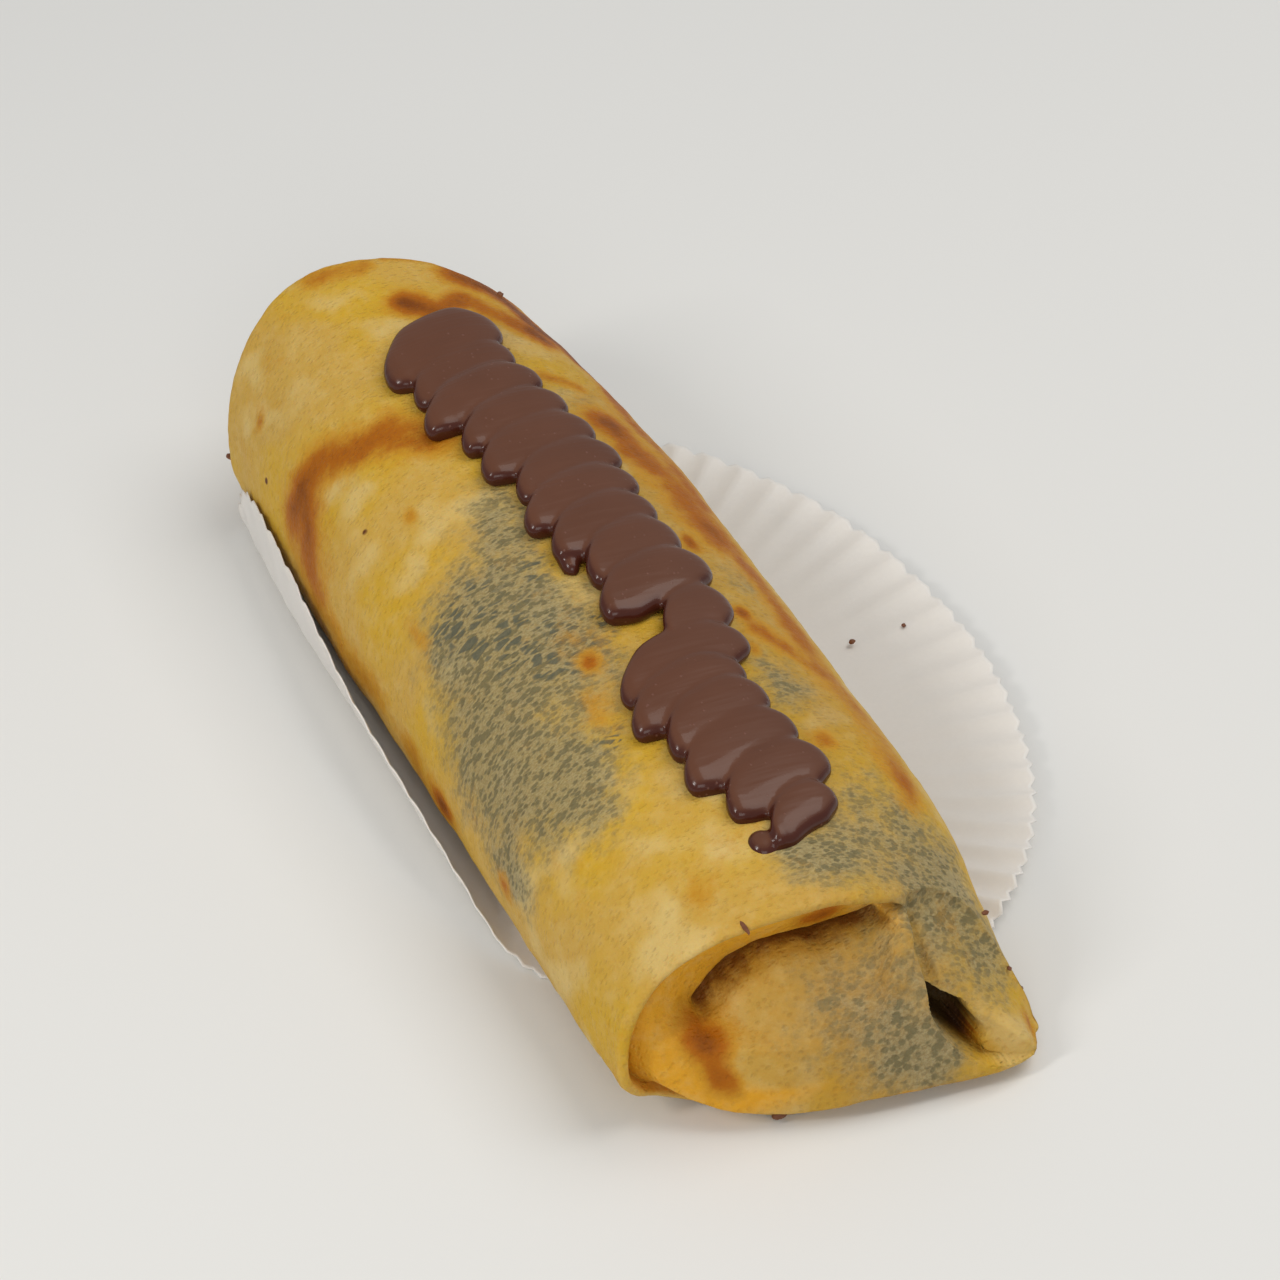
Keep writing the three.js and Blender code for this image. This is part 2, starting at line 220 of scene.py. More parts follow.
def roll_point(y, phi):
    """The roll's outer surface: y along it, phi round it from the right over the top."""
    c, s = np.cos(phi), np.sin(phi)
    height = along(HEIGHT, y)
    pinch = np.where(c > 0, ease(-y, 52, 84), 0)
    widest = mix(height * WIDEST_SHARE, CORNER_HEIGHT, pinch)
    reach = np.where(c > 0, along(RIGHT_REACH, y), along(LEFT_REACH, y))
    under = mix(BOTTOM_POWER, 2.3, np.where(c < 0, ease(-y, 50, 78), 0))
    power = np.where(s < 0, under, mix(TOP_POWER, PINCHED_POWER, pinch))
    r = (np.abs(c) ** power + np.abs(s) ** power) ** (-1 / power)
    rise = np.where(s < 0, widest * 1.04, height - widest)
    z = np.maximum(widest + rise * r * s, floor_at(y))
    return np.stack([reach * r * c, y + 0 * c, z], axis=-1)


print("top of the roll at its middle:", roll_point(np.array(0.0), np.array(math.pi / 2)).round(1))

# %% [markdown]
# ## The two ends
# At the near end the outer layer stops in a free lip. Inside it a roll of the inner layer shows
# as a crescent, meets the folded-up flap in a crease, and on the right the flap ends in an
# upright fold beside a small open pocket. The lip, the groove behind it and the flap are worked
# out as one continuous sheet, so that the crepe stays one closed skin.

# %% Lips and flap
LAYER = 1.8
LIP_GAP = 4.5
CRESCENT = [[60, 2.5], [70, 6.5], [80, 9], [90, 11], [102, 11.5], [118, 12.5], [130, 14], [150, 15],
            [168, 14], [200, 13]]
CREASE_SINK = [[60, 2], [90, 4], [130, 3.4], [165, 2.2], [185, 1.5], [200, 1.5]]
CREASE_STEP = [[62, 0], [72, 2], [90, 2.6], [148, 2.4], [163, 1.2], [176, 0], [200, 0]]
CREASE_ROUND, CREASE_FADE = 1.5, 5.0
GROOVE_DEPTH, GROOVE_WIDTH = 3.2, 0.9
FLAP_FRONT, FLAP_LEAN = -91.5, 15
FOLD_X, FOLD_STEP = 14.6, 3.2
FOLD_GROOVE = 2.6
POCKET_DEPTH = 10
NEAR_EDGE = [[-100, -85.5], [-45, -87], [-8, -86], [8, -82.5], [30, -75.5], [48, -74.6], [64, -77],
             [90, -77.5], [112, -76.6], [135, -75.2], [160, -75.6], [180, -77], [205, -77], [222, -76],
             [238, -78.5], [252, -84], [260, -85.5]]
FAR_EDGE = [[-100, 79], [-40, 75], [0, 73], [45, 76], [80, 84], [110, 88.8], [140, 87.5], [165, 83],
            [190, 81], [225, 79], [260, 79]]
NEAR_CENTRE = (4, 13)
FAR_CENTRE, FAR_MIDDLE = (0, 16), 80


def lip_share(degrees):
    """How far the layer's edge stands free, from 0 to 1, going round the near end."""
    return ease(degrees, 57, 68) * (1 - ease(degrees, 228, 252))


def fold_edge(z):
    """Where the flap's upright fold stands, height by height."""
    return FOLD_X + 11 * (np.maximum(16 - z, 0) / 14) ** 2.2 + 9 * ease(4.6 - z, 0, 2.6)


def pocket_share(x, z):
    """1 inside the small open pocket just right of the fold."""
    edge = fold_edge(z)
    upper = edge + 4.4 * ease(16.5 - z, 0, 4) * ease(z, 4.5, 9)
    inside = ease(x - edge, -0.8, 0.6) * ease(upper - x, -0.7, 0.7)
    return inside * ease(17 - z, 0, 1.5) * ease(26 - x, 0, 3)


def flap_surface(x, z, lip_y, inset, lip, degrees):
    """Depth along the roll of the folded-in near end."""
    front = FLAP_FRONT + 0.0074 * (x - 15) ** 2 - 2.2 * ease(x, 12, 28)
    lean = FLAP_LEAN * (np.maximum(z - 4, 0) / 28) ** 1.6
    curl = 6 * (1 - np.sqrt(np.maximum(1 - (np.maximum(4 - z, 0) / 4) ** 2, 0)))
    flap = front + lean + curl
    width, sink, ledge = (along(table, degrees) for table in (CRESCENT, CREASE_SINK, CREASE_STEP))
    smooth = soft_min(flap, lip_y + 1.7 + 0.6 * (inset / width) ** 3, 3.0)
    past = np.maximum(inset - width, 0)
    valley = lip_y + 1.1 + sink
    edge_round = 1 - np.sqrt(1 - (1 - np.clip(past / CREASE_ROUND, 0, 1)) ** 2)
    tucked = mix(flap, valley - ledge, np.exp(-past / CREASE_FADE)) + ledge * edge_round
    creased = np.where(inset < width, lip_y + 1.1 + sink * (inset / width) ** 2, tucked)
    creased = creased + GROOVE_DEPTH * np.exp(-(((inset - width) / GROOVE_WIDTH) ** 2))
    y = mix(flap, mix(smooth, creased, ease(ledge, 0, 1.4)), lip)
    edge = fold_edge(z)
    face = -77 - (27 - z) * 0.36 + 1.6 * np.sin(math.pi * np.clip((z - 3) / 24, 0, 1))
    step = FOLD_STEP * (1 - 0.8 * ease(x, 22, 29))
    beyond = ease(x - edge, -0.8, 0.6)
    wall = np.maximum(y + 0.4, np.minimum(face, y + step))
    tuck = FOLD_GROOVE * np.exp(-(((x - edge - 0.9) / 0.9) ** 2)) * ease(z, 15, 18) * (1 - ease(z, 25, 30))
    return mix(y, wall, beyond) + tuck + POCKET_DEPTH * pocket_share(x, z)


print("flap's foremost line:", FLAP_FRONT, "mm")

# %% [markdown]
# The mesh starts as an open tube of even rings, as a modeller would add a cylinder and cut it
# lengthwise. The first and last rings are turned in to become the two ends, the rest are spread
# along the roll, and each end loop is merged to a point.

# %% Stock for the crepe
AROUND = 320
NEAR_RINGS, BODY_RINGS, FAR_RINGS = 70, 180, 40
RINGS = NEAR_RINGS + BODY_RINGS + FAR_RINGS


def ring_stock(name, around, first_cuts, second_cuts):
    """An open cylinder along z whose long edges are cut into even rings."""
    rings = (first_cuts + 1) * (second_cuts + 1)
    bpy.ops.object.select_all(action="DESELECT")
    bpy.ops.mesh.primitive_cylinder_add(
        vertices=around, radius=1, depth=rings, end_fill_type="NOTHING", location=(0, 0, 0)
    )
    stock = bpy.context.object
    stock.name = name
    bpy.ops.object.mode_set(mode="EDIT")
    bpy.ops.mesh.select_mode(type="EDGE")
    for cuts in (first_cuts, second_cuts):
        bpy.ops.mesh.select_all(action="DESELECT")
        bpy.ops.object.mode_set(mode="OBJECT")
        mesh = stock.data
        places = np.zeros(len(mesh.vertices) * 3)
        mesh.vertices.foreach_get("co", places)
        ends = np.zeros(len(mesh.edges) * 2, dtype=int)
        mesh.edges.foreach_get("vertices", ends)
        heights = places.reshape(-1, 3)[:, 2][ends.reshape(-1, 2)]
        mesh.edges.foreach_set("select", np.abs(heights[:, 0] - heights[:, 1]) > 1e-3)
        bpy.ops.object.mode_set(mode="EDIT")
        bpy.ops.mesh.subdivide(number_cuts=cuts)
    bpy.ops.object.mode_set(mode="OBJECT")
    return stock, rings


def stock_index(mesh, around, rings):
    """Ring number and place round the ring of every vertex of the stock."""
    places = np.zeros(len(mesh.vertices) * 3)
    mesh.vertices.foreach_get("co", places)
    places = places.reshape(-1, 3)
    ring = np.rint(places[:, 2] + rings / 2).astype(int)
    turn = np.rint(np.arctan2(places[:, 1], places[:, 0]) / (2 * math.pi) * around).astype(int)
    return ring, turn % around


crepe, crepe_rings = ring_stock("folded_crepe", AROUND, 28, 9)
print("crepe stock:", len(crepe.data.vertices), "vertices,", crepe_rings + 1, "rings")

# %% [markdown]
# The near end is worked out ring by ring from the lip inwards: first round the thickness of
# the layer, then back into the groove behind it, then over the inner roll and the flap. The far
# end is simpler, as it is tucked in flat behind its lip. The whole stock is then moved at once.

# %% The near end
ROLLED = 0.24


def inset_at(depth, span):
    """How far in from the lip a ring of the near end lies, as seen from the end."""
    around_lip = [[0, 0], [0.03, 0.25], [0.07, 0.9], [0.11, 1.55], [0.14, LAYER], [0.2, LAYER + 0.25],
                  [ROLLED, LAYER + 0.7]]
    inner = mix(LAYER + 0.7, span, (np.maximum(depth - ROLLED, 0) / (1 - ROLLED)) ** 0.9)
    return np.where(depth < ROLLED, along(around_lip, depth), inner)


def near_end(edge_y, edge, degrees, depth):
    """The near end from its lip (depth 0) to its middle (depth 1)."""
    lip = np.where(degrees < 0, 0, lip_share(degrees))
    span = np.hypot(edge[..., 0] - NEAR_CENTRE[0], edge[..., 2] - NEAR_CENTRE[1])
    lip_depth = [[0, 0], [0.03, -0.62], [0.07, -0.9], [0.11, -0.62], [0.14, 0], [0.2, LIP_GAP],
                 [ROLLED, LIP_GAP * 0.6]]
    inset = inset_at(depth, span)
    share = 1 - inset / span
    x = mix(NEAR_CENTRE[0], edge[..., 0], share)
    z = mix(NEAR_CENTRE[1], edge[..., 2], share)
    own = flap_surface(x, z, edge_y, inset, lip * ease(share, 0.05, 0.4), degrees)
    groove = mix(1, 0.25, ease(degrees, 185, 225))
    behind = along(lip_depth, depth)
    free = edge_y + np.where(behind > 0, behind * groove, behind)
    shoulder = mix(3.5, 11, ease(degrees, -5, 20) * (1 - ease(degrees, 50, 62)))
    settled = mix(edge_y, own, ease(inset, 0, shoulder))
    standing = mix(free, own, ease(depth, ROLLED, ROLLED + 0.05))
    y = mix(settled, standing, lip)
    return np.stack([x, y, z], axis=-1)


print("the lip is rolled over within", ROLLED, "of the near rings")

# %% [markdown]
# The far end is tucked in flat. Its rings run from the slanted lip to a common middle, so that
# they meet in one point.

# %% The far end
def far_end(edge_y, edge, depth):
    """The far end from its lip (depth 0) to its middle (depth 1)."""
    span = np.hypot(edge[..., 0] - FAR_CENTRE[0], edge[..., 2] - FAR_CENTRE[1])
    lip_inset = [[0, 0], [0.04, 0.4], [0.08, 0.9], [0.12, 1.4], [0.16, LAYER], [0.24, LAYER + 0.4]]
    lip_depth = [[0, 0], [0.04, 0.6], [0.08, 0.75], [0.12, 0.6], [0.16, 0], [0.24, -LIP_GAP]]
    rolled = 0.24
    tail = mix(LAYER + 0.4, span, np.maximum(depth - rolled, 0) / (1 - rolled))
    inset = np.where(depth < rolled, along(lip_inset, depth), tail)
    share = 1 - inset / span
    x = mix(FAR_CENTRE[0], edge[..., 0], share)
    z = mix(FAR_CENTRE[1], edge[..., 2], share)
    tucked = -3.5 + 2.6 * np.sqrt(np.maximum(1 - share**2, 0))
    hidden = ease(depth, rolled, rolled + 0.08)
    face = mix(FAR_MIDDLE, edge_y, share**2) + tucked
    behind_lip = edge_y - LIP_GAP
    y = np.where(depth < rolled, edge_y + along(lip_depth, depth), mix(behind_lip, face, hidden))
    return np.stack([x, y, z], axis=-1)


print("the far end is tucked in to", FAR_MIDDLE, "mm along the roll")

# %% [markdown]
# Now the rings are put in order. The body's rings are a little closer together near the lip,
# where the shape changes fastest.

# %% All the rings
def crepe_points():
    """Every ring of the crepe, from the near middle to the far middle."""
    turn = -90 + 360 * np.arange(AROUND) / AROUND
    degrees = np.where(turn > 260, turn - 360, turn)
    phi = np.radians(degrees)
    near_y, far_y = along(NEAR_EDGE, degrees), along(FAR_EDGE, degrees)
    near_ring, far_ring = roll_point(near_y, phi), roll_point(far_y, phi)
    rings = []
    for k in range(RINGS + 1):
        if k < NEAR_RINGS:
            rings.append(near_end(near_y, near_ring, degrees, np.full(AROUND, 1 - k / NEAR_RINGS)))
        elif k <= NEAR_RINGS + BODY_RINGS:
            share = (k - NEAR_RINGS) / BODY_RINGS
            rings.append(roll_point(mix(near_y, far_y, share**1.15), phi))
        else:
            depth = (k - NEAR_RINGS - BODY_RINGS) / FAR_RINGS
            rings.append(far_end(far_y, far_ring, np.full(AROUND, depth)))
    return np.array(rings)


skin = crepe_points()
print("rings and points round each:", skin.shape[:2])

# %% [markdown]
# The inner roll, the crease and the pocket are known exactly while the rings are being made,
# so their masks are worked out here from the same tables.

# %% Masks of the near end
def end_masks():
    """Ring by ring: the inner roll behind the lip, the crease beside it and the pocket."""
    turn = -90 + 360 * np.arange(AROUND) / AROUND
    degrees = np.where(turn > 260, turn - 360, turn)
    edge = roll_point(along(NEAR_EDGE, degrees), np.radians(degrees))
    span = np.hypot(edge[:, 0] - NEAR_CENTRE[0], edge[:, 2] - NEAR_CENTRE[1])
    width, ledge = along(CRESCENT, degrees), along(CREASE_STEP, degrees)
    roll, crease, pocket = (np.zeros((RINGS + 1, AROUND)) for _ in range(3))
    for k in range(NEAR_RINGS):
        inset = inset_at(np.full(AROUND, 1 - k / NEAR_RINGS), span)
        roll[k] = lip_share(degrees) * ease(inset, 1.2, 2.4) * (1 - ease(inset / width, 0.85, 1.25))
        # the crease mask places a line of painted shade along the tuck
        crease[k] = np.exp(-(((inset - width) / 1.1) ** 2)) * ease(ledge, 0, 1.4)
        share = 1 - inset / span
        x = mix(NEAR_CENTRE[0], edge[:, 0], share)
        z = mix(NEAR_CENTRE[1], edge[:, 2], share)
        # the pocket mask places painted shade inside the open pocket
        pocket[k] = pocket_share(x, z)
    return roll, crease, pocket


def add_mask(piece, name, values):
    layer = piece.data.attributes.new(name, "FLOAT", "POINT")
    layer.data.foreach_set("value", np.clip(values, 0, 2).astype(np.float32))


inner_roll, crease, pocket = end_masks()
print("inner roll covers", round(float(inner_roll.mean()), 3), "of the rings")

# %% [markdown]
# The stock keeps its vertices and faces. Each vertex is looked up by its ring and its place
# round the ring and moved to its point on the skin, and takes its masks along.

# %% Drape the stock
ring_of, turn_of = stock_index(crepe.data, AROUND, crepe_rings)
add_mask(crepe, "inner_roll", inner_roll[ring_of, turn_of])
add_mask(crepe, "crease", crease[ring_of, turn_of])
add_mask(crepe, "pocket", pocket[ring_of, turn_of])
crepe.data.vertices.foreach_set("co", to_metres(skin[ring_of, turn_of]).ravel())
crepe.data.update()
print("crepe draped:", skin.reshape(-1, 3).min(axis=0).round(1), skin.reshape(-1, 3).max(axis=0).round(1))


# %% [markdown]
# The first and last rings have shrunk to a point each. Merging their vertices closes the skin,
# which a real solid needs, and the normals are turned outwards.

# %% Close the two ends
def close_ends(piece):
    """Merges each end loop to a point and turns the faces outwards."""
    bpy.ops.object.select_all(action="DESELECT")
    bpy.context.view_layer.objects.active = piece
    piece.select_set(True)
    bpy.ops.object.mode_set(mode="EDIT")
    bpy.ops.mesh.select_mode(type="VERT")
    bpy.ops.mesh.select_all(action="SELECT")
    bpy.ops.mesh.remove_doubles(threshold=1e-6)
    bpy.ops.mesh.normals_make_consistent(inside=False)
    bpy.ops.object.mode_set(mode="OBJECT")
    bpy.ops.object.shade_smooth()


close_ends(crepe)
print("crepe:", len(crepe.data.polygons), "faces")

# %% [markdown]
# Baked batter is never smooth. Broad lumps come from the filling pushing at the skin, small
# dimples from steam. Each vertex is moved along its own normal by smooth random values, which
# is what a sculptor's noise brush does.

# %% Lumps and dimples
def vertex_values(mesh, name, width):
    values = np.zeros(len(mesh.vertices) * width)
    mesh.vertices.foreach_get(name, values)
    return values.reshape(-1, width) if width > 1 else values


def roughen(piece, layers):
    """Moves vertices along their normals. Each layer is (lump size, height, seed), in mm."""
    places = (vertex_values(piece.data, "co", 3) - ORIGIN) / MM
    normals = vertex_values(piece.data, "normal", 3)
    height = sum(tall * grain(places, size, seed) for size, tall, seed in layers)
    flat = ease(places[:, 2], 1.0, 4.0)
    places = places + normals * (height * flat)[:, None]
    piece.data.vertices.foreach_set("co", to_metres(places).ravel())
    piece.data.update()
    return height


heights = roughen(crepe, [(26, 0.7, 3.1), (9, 0.3, 8.7), (3.2, 0.09, 5.5), (1.5, 0.07, 1.3)])
print("skin moved by at most", round(float(np.abs(heights).max()), 2), "mm")

# %% [markdown]
# ## Where the crepe is browned and where the filling shows
# A crepe browns where it touched the pan hardest and where a fold sticks up. Where it is thin
# the grey of the filling shows through as a net of dark cells. Both are painted as soft masks
# on the vertices, in bands and patches named by their place, and the material roughens their
# edges later.

# %% Patches and bands
def patch(places, centre, across, lengthwise):
    """1 at the centre, fading out over the two sizes."""
    gap = places - np.array(centre, dtype=float)
    squared = (gap[:, 0] ** 2 + gap[:, 2] ** 2) / across**2 + gap[:, 1] ** 2 / lengthwise**2
    return np.exp(-squared)


def band(places, path, width):
    """1 along a path of points, fading out over the width."""
    best = np.full(len(places), 1e9)
    for a, b in zip(path[:-1], path[1:]):
        start, run = np.array(a, dtype=float), np.array(b, dtype=float) - np.array(a, dtype=float)
        t = np.clip((places - start) @ run / (run @ run), 0, 1)
        best = np.minimum(best, np.linalg.norm(places - start - t[:, None] * run, axis=1))
    return np.exp(-((best / width) ** 2))


places = (vertex_values(crepe.data, "co", 3) - ORIGIN) / MM
print("vertices to paint:", len(places))

# %% [markdown]
# Each band is a path of points with a width and a strength, and each patch is a centre with
# its size across, its size lengthwise and a strength. Points of the path and centres lie on
# the skin, so a band follows the roll. Noise makes the bands swell and fade as they go.

# %% Brown bands and patches
BROWN_BANDS = [
    ([(-10, 38, 41), (-17, 45, 38), (-24, 48, 34), (-28, 50, 29), (-31, 49, 22)], 4.6, 1.3),
    ([(-28, 50, 28), (-31, 44, 23), (-33, 36, 18)], 5.4, 1.1),
    ([(-33, 30, 16), (-33, 8, 14), (-32, -14, 12)], 3.6, 0.55),
    ([(-12, 87, 40), (-8, 86, 41), (-4, 85, 42)], 2.6, 1.0),
    ([(0, 86, 42), (8, 83, 41)], 1.2, 0.8),
    ([(11, 79, 40), (17, 73, 36), (21, 62, 33), (25, 50, 30)], 4.0, 1.5),
    ([(-1, 73, 42), (3, 69, 42), (9, 71, 40), (12, 67, 40), (18, 59, 36)], 3.2, 1.5),
    ([(12, 47, 39), (17, 44, 37)], 1.8, 0.9),
    ([(20, 76, 34), (18, 58, 36)], 2.0, 0.7),
    ([(24, 52, 32), (25, 20, 32), (25, -10, 32), (26, -36, 29), (25, -58, 29)], 3.8, 0.95),
    ([(17, 33, 37), (20, 22, 36), (22, 12, 34), (23, 2, 34)], 5.2, 1.3),
    ([(18, -22, 36), (23, -28, 33), (26, -34, 30)], 2.6, 0.8),
    ([(-15, -79, 21), (-8, -78, 26), (2, -76, 29)], 1.8, 0.7),
    ([(-22, -86, 1), (0, -91, 1), (22, -92, 1)], 1.4, 0.7),
    ([(21, -83, 6), (24, -85, 5), (30, -87, 4)], 2.0, 1.6),
]
BROWN_PATCHES = [
    ((-19, -80, 15), 3.4, 6, 0.95), ((-17.5, -80, 10), 2.4, 6, 0.9), ((-17, -78, 17), 3.6, 6, 0.75),
    ((-16, -80, 8), 2.4, 8, 0.7), ((2, -74, 29), 4, 4, 1.2), ((-32, -15, 12), 2.2, 4, 1.0),
    ((-32, -38, 15), 2.2, 2.5, 1.0), ((-10, -21, 38), 1.8, 2, 1.2), ((16, -48, 35), 2.6, 2.6, 0.95),
    ((17, 0, 37), 1.4, 2.4, 1.3), ((17, -18, 36), 1.6, 1.6, 1.4), ((15, -27, 37), 1.2, 1.6, 1.1),
    ((-20, 25, 36), 1.4, 2, 0.8), ((-29, 71, 27), 1.2, 1.6, 0.8), ((18, 66, 36), 2.6, 5, 0.9),
    ((-28, 5, 30), 1.6, 4, 0.65), ((8, -91, 1), 2.2, 2, 1.3), ((23, -83, 5), 2.6, 5, 1.6),
    ((-15, -69, 33), 2.4, 3, 0.5), ((23, 56, 33), 2.4, 3, 1.3), ((-13, -30, 37), 3, 5, 0.4),
]
BROWN_LUMPS, BROWN_HAZE = 8, 18
browned = np.max([strength * band(places, path, width) for path, width, strength in BROWN_BANDS], axis=0)
browned = browned * (1 + 0.6 * grain(places, BROWN_LUMPS, 40.0))
browned = browned + sum(s * patch(places, c, a, w) for c, a, w, s in BROWN_PATCHES)
browned = browned + 0.25 * np.maximum(grain(places, BROWN_HAZE, 21.0), 0)
add_mask(crepe, "browned", browned)
print("browned on average", round(float(np.clip(browned, 0, 1).mean()), 3))

# %% [markdown]
# The nets and the toasted places are patches only. The two kinds of net overlap where the
# batter is thinnest, which is on the left beside the chocolate.

# %% Paint the nets and the toasted places
FINE_NET = [
    ((-27, -26, 27), 10, 17, 1.15), ((-20, -40, 33), 7, 10, 0.9), ((-20, -4, 36), 10, 13, 1.15),
    ((-12, -16, 39), 8, 16, 0.85), ((-9, 14, 40), 6, 10, 0.8), ((-31, -40, 18), 4, 8, 0.8),
    ((16, -34, 36), 5, 9, 0.75), ((16, -64, 33), 12, 10, 0.6), ((26, -74, 24), 10, 12, 0.75),
    ((28, -82, 14), 7, 7, 0.65), ((20, -79, 27), 7, 7, 0.5), ((7, -72, 35), 7, 5, 0.5),
    ((2, -70, 35), 6, 5, 0.75), ((12, -90, 8), 7, 7, 1.0), ((4, -86, 17), 12, 12, 0.62),
    ((16, 40, 38), 4, 6, 0.5), ((22, -8, 34), 4, 8, 0.5), ((16, 66, 36), 3, 4, 0.5),
]
LARGE_NET = [
    ((-21, -1, 35), 8, 9, 1.15), ((-16, -14, 37), 7, 7, 0.9), ((-8, 1, 40), 4, 4, 0.9),
    ((-6, -15, 39), 4, 4, 0.9), ((-13, -37, 37), 4, 4, 0.9), ((-12, -18, 38), 6, 8, 0.55),
    ((-2, -80, 25), 5, 4, 0.8),
]
TOASTED = [
    ((6, -86, 16), 17, 13, 1.25), ((20, -36, 34), 9, 24, 0.8), ((20, 20, 34), 8, 30, 0.9),
    ((-4, -28, 40), 9, 16, 0.6), ((8, 62, 40), 12, 12, 0.6),
]
for name, patches in (("fine_net", FINE_NET), ("large_net", LARGE_NET), ("toasted", TOASTED)):
    add_mask(crepe, name, sum(s * patch(places, c, a, w) for c, a, w, s in patches))
    print(name, "is painted with", len(patches), "patches")

# %% [markdown]
# ## Materials from nodes
# Every finish here is a little tree of nodes read in the piece's own object coordinates. A few
# helpers keep the trees short: each adds one node and returns the socket that it gives out.

# %% Node helpers
def new_material(name):
    material = bpy.data.materials.new(name)
    material.use_nodes = True
    return material, material.node_tree, material.node_tree.nodes["Principled BSDF"]


def socket_in(tree, target, value):
    """Plugs a socket in, or sets a plain value."""
    if isinstance(value, bpy.types.NodeSocket):
        tree.links.new(value, target)
    else:
        target.default_value = value


def math_node(tree, operation, a, b, clamp=False):
    node = tree.nodes.new("ShaderNodeMath")
    node.operation = operation
    node.use_clamp = clamp
    socket_in(tree, node.inputs[0], a)
    socket_in(tree, node.inputs[1], b)
    return node.outputs[0]


def times(tree, a, b, clamp=False):
    return math_node(tree, "MULTIPLY", a, b, clamp)


def plus(tree, a, b):
    return math_node(tree, "ADD", a, b)


def mask(tree, name):
    node = tree.nodes.new("ShaderNodeAttribute")
    node.attribute_name = name
    return node.outputs["Fac"]


def object_places(tree, stretch=(1, 1, 1)):
    """Object coordinates in millimetres, closed up along the axes with a larger number."""
    where = tree.nodes.new("ShaderNodeTexCoord").outputs["Object"]
    scale = tree.nodes.new("ShaderNodeMapping")
    scale.inputs["Scale"].default_value = [v / MM for v in stretch]
    tree.links.new(where, scale.inputs["Vector"])
    return scale.outputs["Vector"]


def noise_node(tree, where, size, detail, rough=0.5):
    node = tree.nodes.new("ShaderNodeTexNoise")
    node.inputs["Scale"].default_value = 1 / size
    node.inputs["Detail"].default_value = detail
    node.inputs["Roughness"].default_value = rough
    tree.links.new(where, node.inputs["Vector"])
    return node.outputs["Fac"]


def cell_node(tree, where, size, feature="F1"):
    node = tree.nodes.new("ShaderNodeTexVoronoi")
    node.feature = feature
    node.inputs["Scale"].default_value = 1 / size
    tree.links.new(where, node.inputs["Vector"])
    return node


def step_node(tree, value, low, high):
    """A soft step from 0 at low to 1 at high."""
    node = tree.nodes.new("ShaderNodeMapRange")
    node.interpolation_type = "SMOOTHSTEP"
    socket_in(tree, node.inputs["Value"], value)
    node.inputs["From Min"].default_value = low
    node.inputs["From Max"].default_value = high
    return node.outputs["Result"]


def colour_node(tree, share, a, b):
    node = tree.nodes.new("ShaderNodeMix")
    node.data_type = "RGBA"
    socket_in(tree, node.inputs["Factor"], share)
    socket_in(tree, node.inputs["A"], a if isinstance(a, bpy.types.NodeSocket) else (*a, 1))
    socket_in(tree, node.inputs["B"], b if isinstance(b, bpy.types.NodeSocket) else (*b, 1))
    return node.outputs["Result"]


def tint(tree, colour, share, most, over):
    """Lays one colour over another where share is 1, at most this strongly."""
    return colour_node(tree, times(tree, share, most), colour, over)


def finish_surface(tree, shader, roughness, specular, relief, depth_mm, strength):
    """Sets what is left of a finish once it has its colour."""
    socket_in(tree, shader.inputs["Roughness"], roughness)
    shader.inputs["Specular IOR Level"].default_value = specular
    tree.links.new(bump_node(tree, relief, depth_mm, strength), shader.inputs["Normal"])


def let_light_in(shader, weight, radius):
    """Light enters the surface and comes out again this far away, in metres, by colour."""
    shader.inputs["Subsurface Weight"].default_value = weight
    shader.inputs["Subsurface Radius"].default_value = radius
    shader.inputs["Subsurface Scale"].default_value = 1.0


def bump_node(tree, height, depth_mm, strength):
    node = tree.nodes.new("ShaderNodeBump")
    node.inputs["Distance"].default_value = depth_mm * MM
    node.inputs["Strength"].default_value = strength
    tree.links.new(height, node.inputs["Height"])
    return node.outputs["Normal"]


print("node helpers are ready")

# %% [markdown]
# The batter's ground is a warm tan that drifts to yellow, golden on the flap and the right
# flank and orange on the inner roll, with a floury mottle and fine dark pores. Each tint is
# laid over the last.

# %% Batter's ground colour
TAN, YELLOW, PALE = (0.555, 0.335, 0.062), (0.575, 0.34, 0.026), (0.63, 0.44, 0.145)
GOLDEN, ORANGE = (0.41, 0.215, 0.038), (0.68, 0.33, 0.022)
FLOURY, PORE = (0.68, 0.50, 0.20), (0.24, 0.12, 0.02)
DRIFT_SIZE, PALE_SIZE, MOTTLE_SIZE, PORE_SIZE = 22, 13, 2.4, 1.25


def batter_ground(tree, even, drawn, fine):
    """Gives the ground colour and the mask of its pores."""
    drift = noise_node(tree, even, DRIFT_SIZE, 2)
    colour = colour_node(tree, step_node(tree, drift, 0.4, 0.62), TAN, YELLOW)
    pale = noise_node(tree, even, PALE_SIZE, 2)
    colour = colour_node(tree, step_node(tree, pale, 0.52, 0.7), colour, PALE)
    toasted = mask(tree, "toasted")
    colour = colour_node(tree, times(tree, toasted, 0.75, True), colour, GOLDEN)
    colour = colour_node(tree, mask(tree, "inner_roll"), colour, ORANGE)
    mottle = noise_node(tree, even, MOTTLE_SIZE, 3, 0.6)
    colour = tint(tree, colour, step_node(tree, mottle, 0.4, 0.8), 0.26, FLOURY)
    pores = cell_node(tree, drawn, PORE_SIZE).outputs["Distance"]
    pore = times(tree, step_node(tree, pores, 0.5, 0.15), step_node(tree, fine, 0.3, 0.6))
    depth = plus(tree, times(tree, toasted, 0.22, True), 0.1)
    return tint(tree, colour, pore, depth, PORE), pore


print("pores are", PORE_SIZE, "mm apart")

